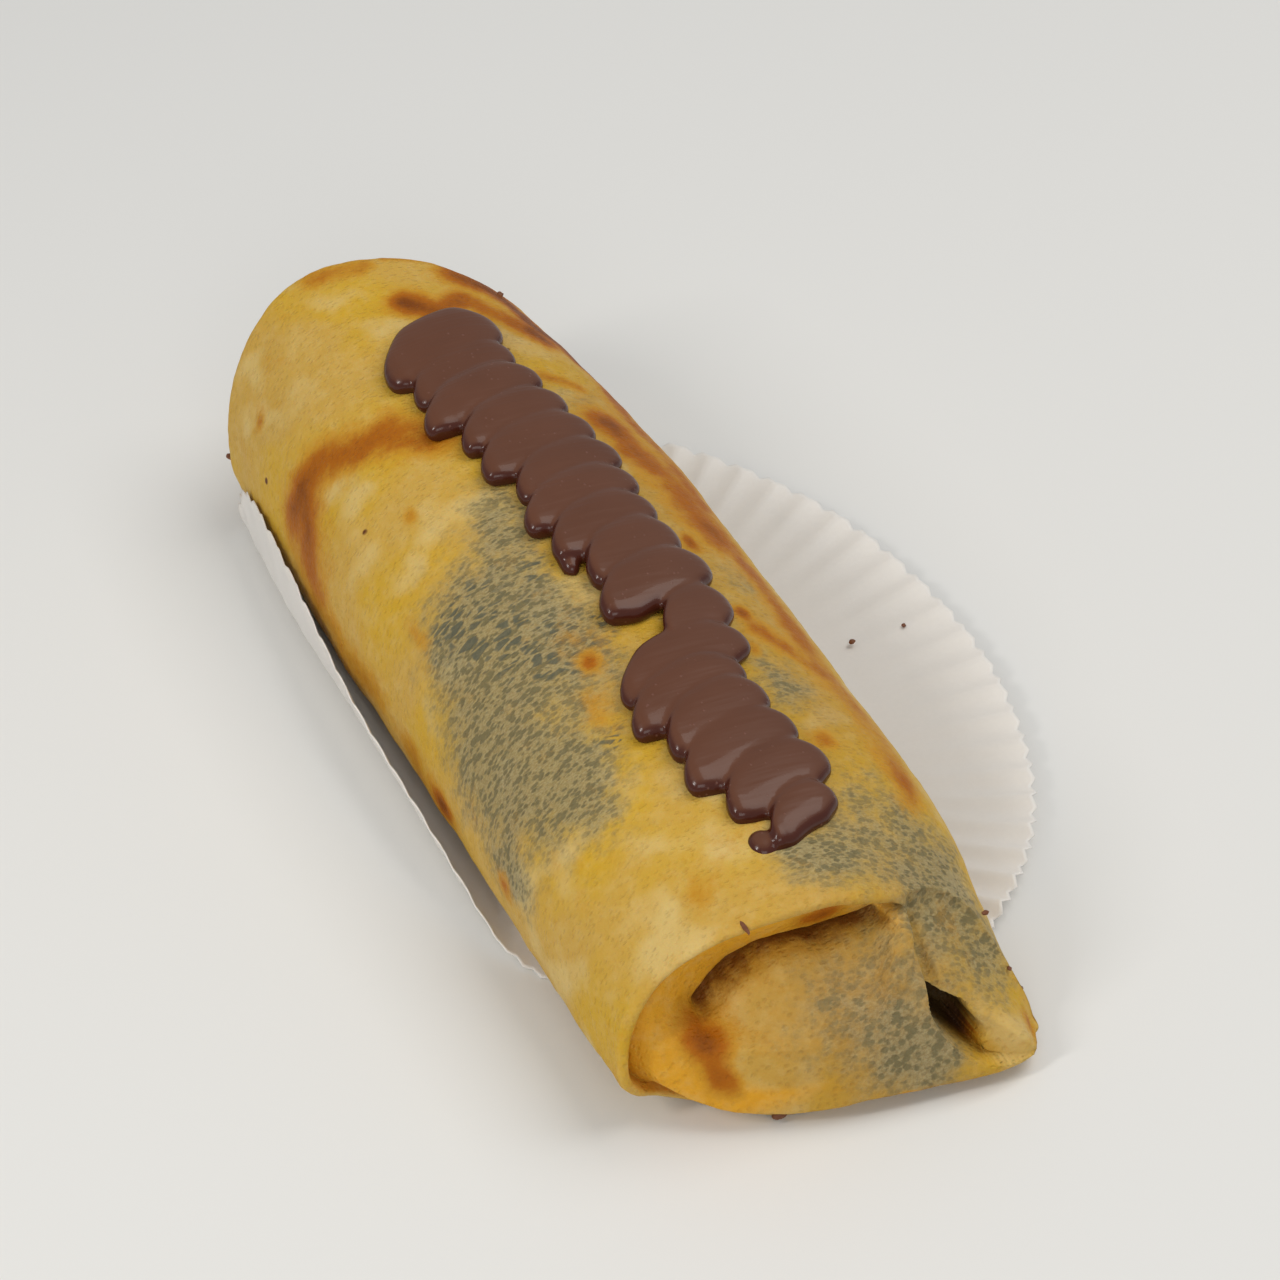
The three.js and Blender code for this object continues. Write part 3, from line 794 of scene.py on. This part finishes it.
# %% [markdown]
# The net over the filling has small cells nearly everywhere and larger drawn-out ones where
# the batter is thinnest. Batter runs round the roll in the pan, so both kinds are long that
# way. Noise makes the net's edge ragged and lets its cells come and go.

# %% Net over the filling
WEB, WEB_LOW = (0.33, 0.28, 0.155), (0.21, 0.175, 0.092)
SMALL_CELL, LARGE_CELL = (0.15, 0.125, 0.058), (0.105, 0.105, 0.07)
THREAD_SIZE, SMALL_SIZE, LARGE_SIZE = 0.55, 1.3, 2.9


def filling_net(tree, colour, even, drawn):
    """Gives the colour with the net over it, and how far the net's cells are sunk."""
    ragged = times(tree, plus(tree, noise_node(tree, even, 4, 4, 0.65), -0.5), 1.2)
    fine_net = step_node(tree, plus(tree, mask(tree, "fine_net"), ragged), 0.12, 0.95)
    thread = noise_node(tree, drawn, THREAD_SIZE, 3, 0.7)
    web = colour_node(tree, step_node(tree, thread, 0.35, 0.65), WEB_LOW, WEB)
    colour = tint(tree, colour, fine_net, 0.8, web)
    sparse = times(tree, plus(tree, noise_node(tree, drawn, 2.4, 2), -0.5), 1.5)
    small = cell_node(tree, drawn, SMALL_SIZE).outputs["Distance"]
    small = plus(tree, plus(tree, small, sparse), times(tree, thread, 0.25))
    small_cell = times(tree, step_node(tree, small, 0.72, 0.4), fine_net)
    colour = tint(tree, colour, small_cell, 0.8, SMALL_CELL)
    large_net = step_node(tree, plus(tree, mask(tree, "large_net"), ragged), 0.3, 0.85)
    far_drawn = object_places(tree, (0.8, 2.0, 0.8))
    walls = cell_node(tree, far_drawn, LARGE_SIZE, "DISTANCE_TO_EDGE").outputs["Distance"]
    present = step_node(tree, noise_node(tree, drawn, 3.2, 1), 0.44, 0.54)
    large = times(tree, step_node(tree, walls, 0.06, 0.17), present)
    large_cell = times(tree, large, large_net)
    colour = tint(tree, colour, large_cell, 0.85, LARGE_CELL)
    return colour, math_node(tree, "MAXIMUM", times(tree, small_cell, 0.6), large_cell)


print("cells of the net:", SMALL_SIZE, "and", LARGE_SIZE, "mm")

# %% [markdown]
# Browning goes through three stages, from a tinge to deep brown, and noise breaks up the edge
# of each. A dark line of painted shade runs along the crease beside the inner roll, a few specks
# are scattered about and the inside of the pocket is darkened with painted shade.

# %% Browning and painted shade
TINGED, BROWNED, DEEP_BROWN = (0.52, 0.245, 0.016), (0.37, 0.105, 0.003), (0.15, 0.036, 0.004)
# SHADED is the painted shade for the inside of the pocket
SPECK, SHADED = (0.11, 0.03, 0.01), (0.035, 0.018, 0.009)
BREAKUP_SIZE, SPECK_SPACING = 4.5, 9.0
STAGES = [(0.08, 0.6, 0.85, TINGED), (0.45, 1.15, 0.95, BROWNED), (1.05, 1.8, 0.8, DEEP_BROWN)]


def browning(tree, colour, even):
    """Gives the colour with the pan's browning and specks, and painted shade in the crease and the pocket.
    """
    breakup = plus(tree, noise_node(tree, even, BREAKUP_SIZE, 6, 0.72), -0.5)
    brown = plus(tree, mask(tree, "browned"), times(tree, breakup, 1.25))
    for low, high, most, stage in STAGES:
        colour = tint(tree, colour, step_node(tree, brown, low, high), most, stage)
    # painted shade: a dark line along the crease where the flap tucks in under the inner roll
    crease_shade = plus(tree, mask(tree, "crease"), times(tree, breakup, 1.2))
    colour = tint(tree, colour, step_node(tree, crease_shade, 0.25, 0.85), 0.9, DEEP_BROWN)
    spots = cell_node(tree, even, SPECK_SPACING).outputs["Distance"]
    size = step_node(tree, noise_node(tree, even, 6.0, 1), 0.62, 0.7)
    colour = tint(tree, colour, step_node(tree, spots, 0.085, 0.045), size, SPECK)
    # painted shade: the inside of the pocket is darkened
    return tint(tree, colour, step_node(tree, mask(tree, "pocket"), 0.1, 0.7), 0.92, SHADED)


print("stages of browning:", len(STAGES))

# %% [markdown]
# The three layers make one material. Batter is dull and lets a little light in, the pores and
# the net's cells are sunk, and fine noise breaks up its shine.

# %% Baked batter
FINE_SIZE = 1.1


def batter_material():
    material, tree, shader = new_material("baked_batter")
    even = object_places(tree)
    drawn = object_places(tree, (1, 1.9, 1))
    fine = noise_node(tree, even, FINE_SIZE, 3, 0.6)
    colour, pore = batter_ground(tree, even, drawn, fine)
    colour, sunk = filling_net(tree, colour, even, drawn)
    tree.links.new(browning(tree, colour, even), shader.inputs["Base Color"])
    relief = math_node(tree, "SUBTRACT", fine, times(tree, pore, 0.5))
    relief = math_node(tree, "SUBTRACT", relief, times(tree, sunk, 0.6))
    roughness = plus(tree, times(tree, fine, 0.25), 0.38)
    finish_surface(tree, shader, roughness, 0.12, relief, 0.35, 0.7)
    let_light_in(shader, 0.12, (0.004, 0.002, 0.0008))
    return material


def dress(piece, material, node):
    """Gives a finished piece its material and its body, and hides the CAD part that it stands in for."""
    piece.data.materials.clear()
    piece.data.materials.append(material)
    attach(piece, "root")
    if node:
        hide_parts(node)


dress(crepe, batter_material(), "crepe")
print("crepe dressed in", crepe.data.materials[0].name)

# %% [markdown]
# ## The chocolate
# A piping bag swings from side to side while it travels towards the near end, so each stroke
# lies against the last and its ends swell into rounded lobes. Each stroke starts as a sphere
# that is drawn out across the roll. All are joined, remeshed into one skin and smoothed, which
# gives the soft grooves between them.

# %% Piped strokes
STROKE_ENDS = [
    (-12.6, 10), (-10.6, 9.2), (-12, 10.8), (-8.6, 12), (-8.4, 13.4), (-5.6, 14.6), (-7.6, 14.2),
    (-6.2, 13.8), (-3.6, 14.2), (-5.2, 15.8), (1.5, 15), (-9.8, 13.8), (-11, 10), (-8, 10.8),
    (-8.6, 12), (-5.4, 13.6), (-2, 11),
]
STROKES = len(STROKE_ENDS)
STROKE_PITCH = 7.5
FIRST_STROKE = 55.8
HAND_PAUSE = 3.0
STROKE_WIDTH, STROKE_THICKNESS = 10.8, 3.4
STROKE_TILT, STROKE_BOW = 2.6, 1.8
VOXEL = 0.4


def top_of(x, y):
    """Height of the roll's top surface over a point."""
    height = along(HEIGHT, y)
    reach = np.where(x > 0, along(RIGHT_REACH, y), along(LEFT_REACH, y))
    widest = height * WIDEST_SHARE
    return widest + (height - widest) * (1 - np.abs(x / reach) ** TOP_POWER) ** (1 / TOP_POWER)


def stroke_middle(i):
    """How far along the roll a stroke lies: an even pitch, with one pause of the hand."""
    return FIRST_STROKE - STROKE_PITCH * i - HAND_PAUSE * math.exp(-(((i - 11) / 1.6) ** 2))


def pipe_stroke(i, rng):
    """One stroke: a sphere drawn out across the roll, blunt at its ends and flattened on top."""
    bpy.ops.object.select_all(action="DESELECT")
    bpy.ops.mesh.primitive_uv_sphere_add(segments=40, ring_count=24, radius=1, location=(0, 0, 0))
    stroke = bpy.context.object
    ball = vertex_values(stroke.data, "co", 3)
    u, across, up = ball[:, 2], ball[:, 0], ball[:, 1]
    turn = np.arctan2(up, across)
    c, s = np.cos(turn), np.sin(turn)
    square = (np.abs(c) ** 2.8 + np.abs(s) ** 2.8) ** (-1 / 2.8)
    full = np.sqrt(np.maximum(1 - np.abs(u) ** 5, 0)) * square
    across, up = c * full, s * full
    left, right = STROKE_ENDS[i]
    wide, thick = rng.uniform(0.94, 1.1), rng.uniform(0.9, 1.1)
    wide = {0: 1.35, STROKES - 1: 0.72}.get(i, wide)
    x = mix(left, right, (u + 1) / 2)
    narrow = 1 - 0.3 * ease(np.abs(u), 0.4, 0.9)
    y = stroke_middle(i) + STROKE_TILT * u + STROKE_BOW * (1 - u * u)
    y = y + STROKE_WIDTH / 2 * wide * narrow * across
    bulb = 1 + 0.22 * ease(-u, 0.55, 0.9)
    lift = STROKE_THICKNESS * thick * bulb * (0.32 + 0.6 * up) + 0.4 * across
    z = top_of(x, y) + np.maximum(lift, -0.35)
    stroke.data.vertices.foreach_set("co", to_metres(np.stack([x, y, z], axis=-1)).ravel())
    return stroke


def small_drop(x, y, long, wide, tall):
    """A drip or a lost drop of chocolate: a flattened ball on the crepe."""
    bpy.ops.object.select_all(action="DESELECT")
    bpy.ops.mesh.primitive_uv_sphere_add(segments=24, ring_count=16, radius=1, location=(0, 0, 0))
    drop = bpy.context.object
    ball = vertex_values(drop.data, "co", 3)
    px, py = x + wide * ball[:, 0], y + long * ball[:, 1]
    pz = top_of(px, py) + tall * np.maximum(ball[:, 2], -0.3)
    drop.data.vertices.foreach_set("co", to_metres(np.stack([px, py, pz], axis=-1)).ravel())
    return drop


def join(parts, name):
    bpy.ops.object.select_all(action="DESELECT")
    for part in parts:
        part.select_set(True)
    bpy.context.view_layer.objects.active = parts[0]
    bpy.ops.object.join()
    whole = bpy.context.object
    whole.name = name
    return whole


def apply_modifier(piece, kind, **settings):
    bpy.ops.object.select_all(action="DESELECT")
    piece.select_set(True)
    bpy.context.view_layer.objects.active = piece
    modifier = piece.modifiers.new(kind.lower(), kind)
    for key, value in settings.items():
        setattr(modifier, key, value)
    bpy.ops.object.modifier_apply(modifier=modifier.name)


rng = np.random.default_rng(7)
strokes = [pipe_stroke(i, rng) for i in range(STROKES)]
drips = [small_drop(-4.4, -1.2, 2.4, 1.6, 1.8), small_drop(-3.0, -65.6, 2.6, 2.3, 1.7)]
chocolate = join(strokes + drips, "piped_chocolate")
apply_modifier(chocolate, "REMESH", mode="VOXEL", voxel_size=VOXEL * MM, use_smooth_shade=True)
apply_modifier(chocolate, "SMOOTH", factor=0.5, iterations=8)
print("chocolate:", len(chocolate.data.polygons), "faces")

# %% [markdown]
# The top of each stroke has formed a skin in the air and is satin, while the lobes at the sides
# are still tight, dark and glossy. The mask says how far a face has turned from the roll's own
# slope, so it is 1 on the flat tops and 0 round the lobes. It sets the satin roughness, and it
# also paints the upturned faces a lighter brown, which is painted sheen from the light above.

# %% Mask of the top skin and its painted sheen
def slope_of_roll(x, y):
    step = 0.2
    return (top_of(x + step, y) - top_of(x - step, y)) / (2 * step)


spots = (vertex_values(chocolate.data, "co", 3) - ORIGIN) / MM
normals = vertex_values(chocolate.data, "normal", 3)
slope = slope_of_roll(spots[:, 0], spots[:, 1])
upright = (normals[:, 2] - slope * normals[:, 0]) / np.sqrt(1 + slope**2)
# the same mask paints the upturned faces lighter, as painted sheen from the light above
add_mask(chocolate, "skin_and_top_light", ease(upright, 0.72, 0.95))
print("skinned share:", round(float(ease(upright, 0.72, 0.95).mean()), 2))

# %% [markdown]
# The chocolate's material: milk brown on the skin, lightened there as painted sheen from the light
# above, a redder and darker brown where it is thin and rounded, fine ribs drawn by the nozzle
# along each stroke, and tiny air bubbles.

# %% Chocolate material
TOP_LIT_SKIN = ((0.100, 0.034, 0.015), (0.124, 0.044, 0.021))
FRESH, BUBBLE = (0.062, 0.014, 0.007), (0.2, 0.085, 0.06)
BUBBLE_SPACING, RIB_SPACING = 1.3, 1.4


def chocolate_material():
    material, tree, shader = new_material("set_chocolate")
    even = object_places(tree)
    skin_and_top_light = mask(tree, "skin_and_top_light")
    # painted sheen: faces that look up get a lighter brown than the lobes
    top = colour_node(tree, noise_node(tree, even, 9, 2), *TOP_LIT_SKIN)
    colour = colour_node(tree, skin_and_top_light, FRESH, top)
    bubbles = cell_node(tree, even, BUBBLE_SPACING).outputs["Distance"]
    few = step_node(tree, noise_node(tree, even, 6, 1), 0.5, 0.6)
    bubble = times(tree, step_node(tree, bubbles, 0.2, 0.08), few)
    tree.links.new(tint(tree, colour, bubble, 0.45, BUBBLE), shader.inputs["Base Color"])
    ribs = noise_node(tree, object_places(tree, (0.1, 1.0, 0.25)), RIB_SPACING, 1.5)
    relief = plus(tree, times(tree, ribs, 1.2), times(tree, bubble, 0.35))
    finish_surface(tree, shader, plus(tree, times(tree, skin_and_top_light, 0.22), 0.2), 0.2, relief, 0.22, 0.6)
    shader.inputs["Coat Weight"].default_value = 0.2
    shader.inputs["Coat Roughness"].default_value = 0.08
    return material


dress(chocolate, chocolate_material(), "chocolate")
print("chocolate dressed")

# %% [markdown]
# ## The paper case
# The case is one thin oval sheet with a flat base and a pleated wall. The crepe presses its
# near and far walls flat, bends the left wall up along its own side and lets the right wall lie
# nearly flat on the table. So the sheet is drawn flat first and then laid over those bends.

# %% Paper sheet
PAPER = 0.25
PAPER_CENTRE = (11.6, 5.0)
PAPER_BASE, PAPER_RIM = (33, 56), (55, 77)
PAPER_TURN = math.radians(5)
SQUARED_SIDE = 7
PLEATS, PLEAT_FINENESS = 65, 8
PLEAT_DEPTH, LEFT_PLEATS = 1.1, 0.35
RIM_RISE = 3.4
BEND_X = [[-70, -28], [20, -28], [45, -28.3], [62, -27.6], [80, -26.4]]
BEND_RADIUS = 5.4
BEND_ANGLE = [[-70, 72], [-45, 72], [-10, 71], [12, 72], [28, 78], [45, 86], [80, 89]]
BASE_RINGS, WALL_RINGS = 5, 32


def lay_paper(flat, share, wave):
    """Places a point of the flat sheet. share runs from 0 at the base to 1 at the rim."""
    x, y = flat[:, 0], flat[:, 1]
    free = np.maximum(ease(x, 27, 36), LEFT_PLEATS * ease(-x, 27, 31))
    lift = wave * PLEAT_DEPTH * 0.5 * share**1.3 * free
    rise = RIM_RISE * share**1.4 * ease(x, 26, 46)
    bend = np.radians(along(BEND_ANGLE, y))
    bend_x = along(BEND_X, y)
    beyond = np.maximum(bend_x - x, 0)
    angle = np.minimum(beyond / BEND_RADIUS, bend)
    straight = np.maximum(beyond - BEND_RADIUS * bend, 0)
    out = np.cos(angle) * straight + np.sin(angle) * BEND_RADIUS
    up = np.sin(angle) * straight + (1 - np.cos(angle)) * BEND_RADIUS
    side = np.sin(angle) * np.minimum(lift, 0.1)
    bent = np.stack([bend_x - out + side, y, up + np.cos(angle) * np.maximum(lift, 0)], axis=-1)
    lying = np.stack([x, y, np.maximum(rise + lift, 0)], axis=-1)
    return np.where((x < bend_x)[:, None], bent, lying)


def oval(half_x, half_y, angle):
    """A point of an oval whose far left side is squarer, turned a little and set at its centre."""
    power = mix(2, SQUARED_SIDE, ease(-np.cos(angle), 0, 0.5) * ease(np.sin(angle), -0.3, 0.4))
    c, s = np.cos(angle), np.sin(angle)
    reach = (np.abs(c) ** power + np.abs(s) ** power) ** (-1 / power)
    x, y = half_x * c * reach, half_y * s * reach
    return np.stack([
        PAPER_CENTRE[0] + x * math.cos(PAPER_TURN) - y * math.sin(PAPER_TURN),
        PAPER_CENTRE[1] + x * math.sin(PAPER_TURN) + y * math.cos(PAPER_TURN),
    ], axis=-1)


def make_paper():
    around = PLEATS * PLEAT_FINENESS
    paper, cut_rings = ring_stock("pleated_case", around, BASE_RINGS + WALL_RINGS - 1, 0)
    ring, turn = stock_index(paper.data, around, cut_rings)
    angle = 2 * math.pi * turn / around
    share = np.clip((ring - BASE_RINGS) / WALL_RINGS, 0, 1)
    base_share = np.clip(ring / BASE_RINGS, 0, 1)
    pleat = turn / PLEAT_FINENESS
    crimp = 2 / math.pi * np.arcsin(np.sin(2 * math.pi * pleat) * 0.96)
    circle = np.stack([10 * np.cos(angle), 10 * np.sin(angle), 0 * angle], axis=-1)
    crimp = crimp * (1 + 0.5 * grain(circle, 0.9, 2.0))
    scallop = 1 + 0.007 * share * np.cos(4 * math.pi * pleat) + 0.012 * share * grain(circle, 4, 6.0)
    half_x = mix(PAPER_BASE[0] * base_share, PAPER_RIM[0] * scallop, share)
    half_y = mix(PAPER_BASE[1] * base_share, PAPER_RIM[1] * scallop, share)
    spots = lay_paper(oval(half_x, half_y, angle), share, crimp)
    paper.data.vertices.foreach_set("co", to_metres(spots).ravel())
    paper.data.update()
    add_mask(paper, "rim", share)
    close_ends(paper)
    apply_modifier(paper, "SOLIDIFY", thickness=PAPER * MM, offset=-1.0)
    return paper


paper = make_paper()
print("paper:", len(paper.data.polygons), "faces")

# %% [markdown]
# Greaseproof paper is thin enough to glow a little on its shaded side, so light is let
# through it. Faint fibres keep it from looking like plastic.

# %% Paper material
PAPER_TINTS, FIBRE = ((0.87, 0.82, 0.755), (0.82, 0.77, 0.70)), (0.66, 0.62, 0.58)


def paper_material():
    material, tree, shader = new_material("greaseproof_paper")
    even = object_places(tree)
    fibre = noise_node(tree, even, 0.8, 4, 0.7)
    colour = colour_node(tree, noise_node(tree, even, 15, 2), *PAPER_TINTS)
    tree.links.new(tint(tree, colour, fibre, 0.25, FIBRE), shader.inputs["Base Color"])
    finish_surface(tree, shader, 0.6, 0.3, fibre, 0.06, 0.5)
    let_light_in(shader, 0.3, (0.003, 0.0028, 0.0026))
    return material


dress(paper, paper_material(), "paper_case")
print("paper dressed")

# %% [markdown]
# ## Crumbs
# A few burnt crumbs cling to the edges of the crepe and a couple lie on the paper. Each is a
# low ball pushed out of round, set half into the surface that it lies on.

# %% Burnt crumbs
CRUMBS = [
    ((17.2, 75.9, 36.0), 0.7, 0.5), ((-30.9, 82.9, 12), 0.6, 0.8), ((26.8, -79.0, 21.7), 0.6, 0.35),
    ((-11.6, -77.2, 33.0), 0.35, 1.6), ((-9.3, -85.2, 1.4), 1.1, 0.8), ((49.2, 4.6, 1.6), 0.55, 0.45),
    ((58.4, 3.7, 2.6), 0.4, 0.4), ((32.4, -81.5, 6.0), 0.5, 0.5), ((30.5, -81.0, 10.5), 0.35, 0.4),
]


def make_crumb(centre, size, length, rng):
    bpy.ops.object.select_all(action="DESELECT")
    bpy.ops.mesh.primitive_ico_sphere_add(subdivisions=3, radius=1, location=(0, 0, 0))
    crumb = bpy.context.object
    ball = vertex_values(crumb.data, "co", 3)
    ball = ball * (1 + 0.35 * grain(ball, 0.8, rng.uniform(0, 50)))[:, None]
    spots = np.array(centre) + ball * np.array([size, length, size * 0.7])
    crumb.data.vertices.foreach_set("co", to_metres(spots).ravel())
    return crumb


crumb_rng = np.random.default_rng(11)
crumbs = join([make_crumb(c, a, b, crumb_rng) for c, a, b in CRUMBS], "burnt_crumbs")
bpy.ops.object.shade_smooth()
print("crumbs:", len(CRUMBS), "of them,", len(crumbs.data.polygons), "faces")


# %% [markdown]
# Burnt batter is darker than the deepest browning, dull and rough.

# %% Crumb material
def crumb_material():
    material, tree, shader = new_material("burnt_batter")
    drift = noise_node(tree, object_places(tree), 0.6, 3, 0.6)
    colour = colour_node(tree, drift, (0.10, 0.025, 0.008), (0.22, 0.075, 0.02))
    tree.links.new(colour, shader.inputs["Base Color"])
    finish_surface(tree, shader, 0.6, 0.5, drift, 0.2, 0.6)
    return material


dress(crumbs, crumb_material(), None)
print("crumbs dressed")
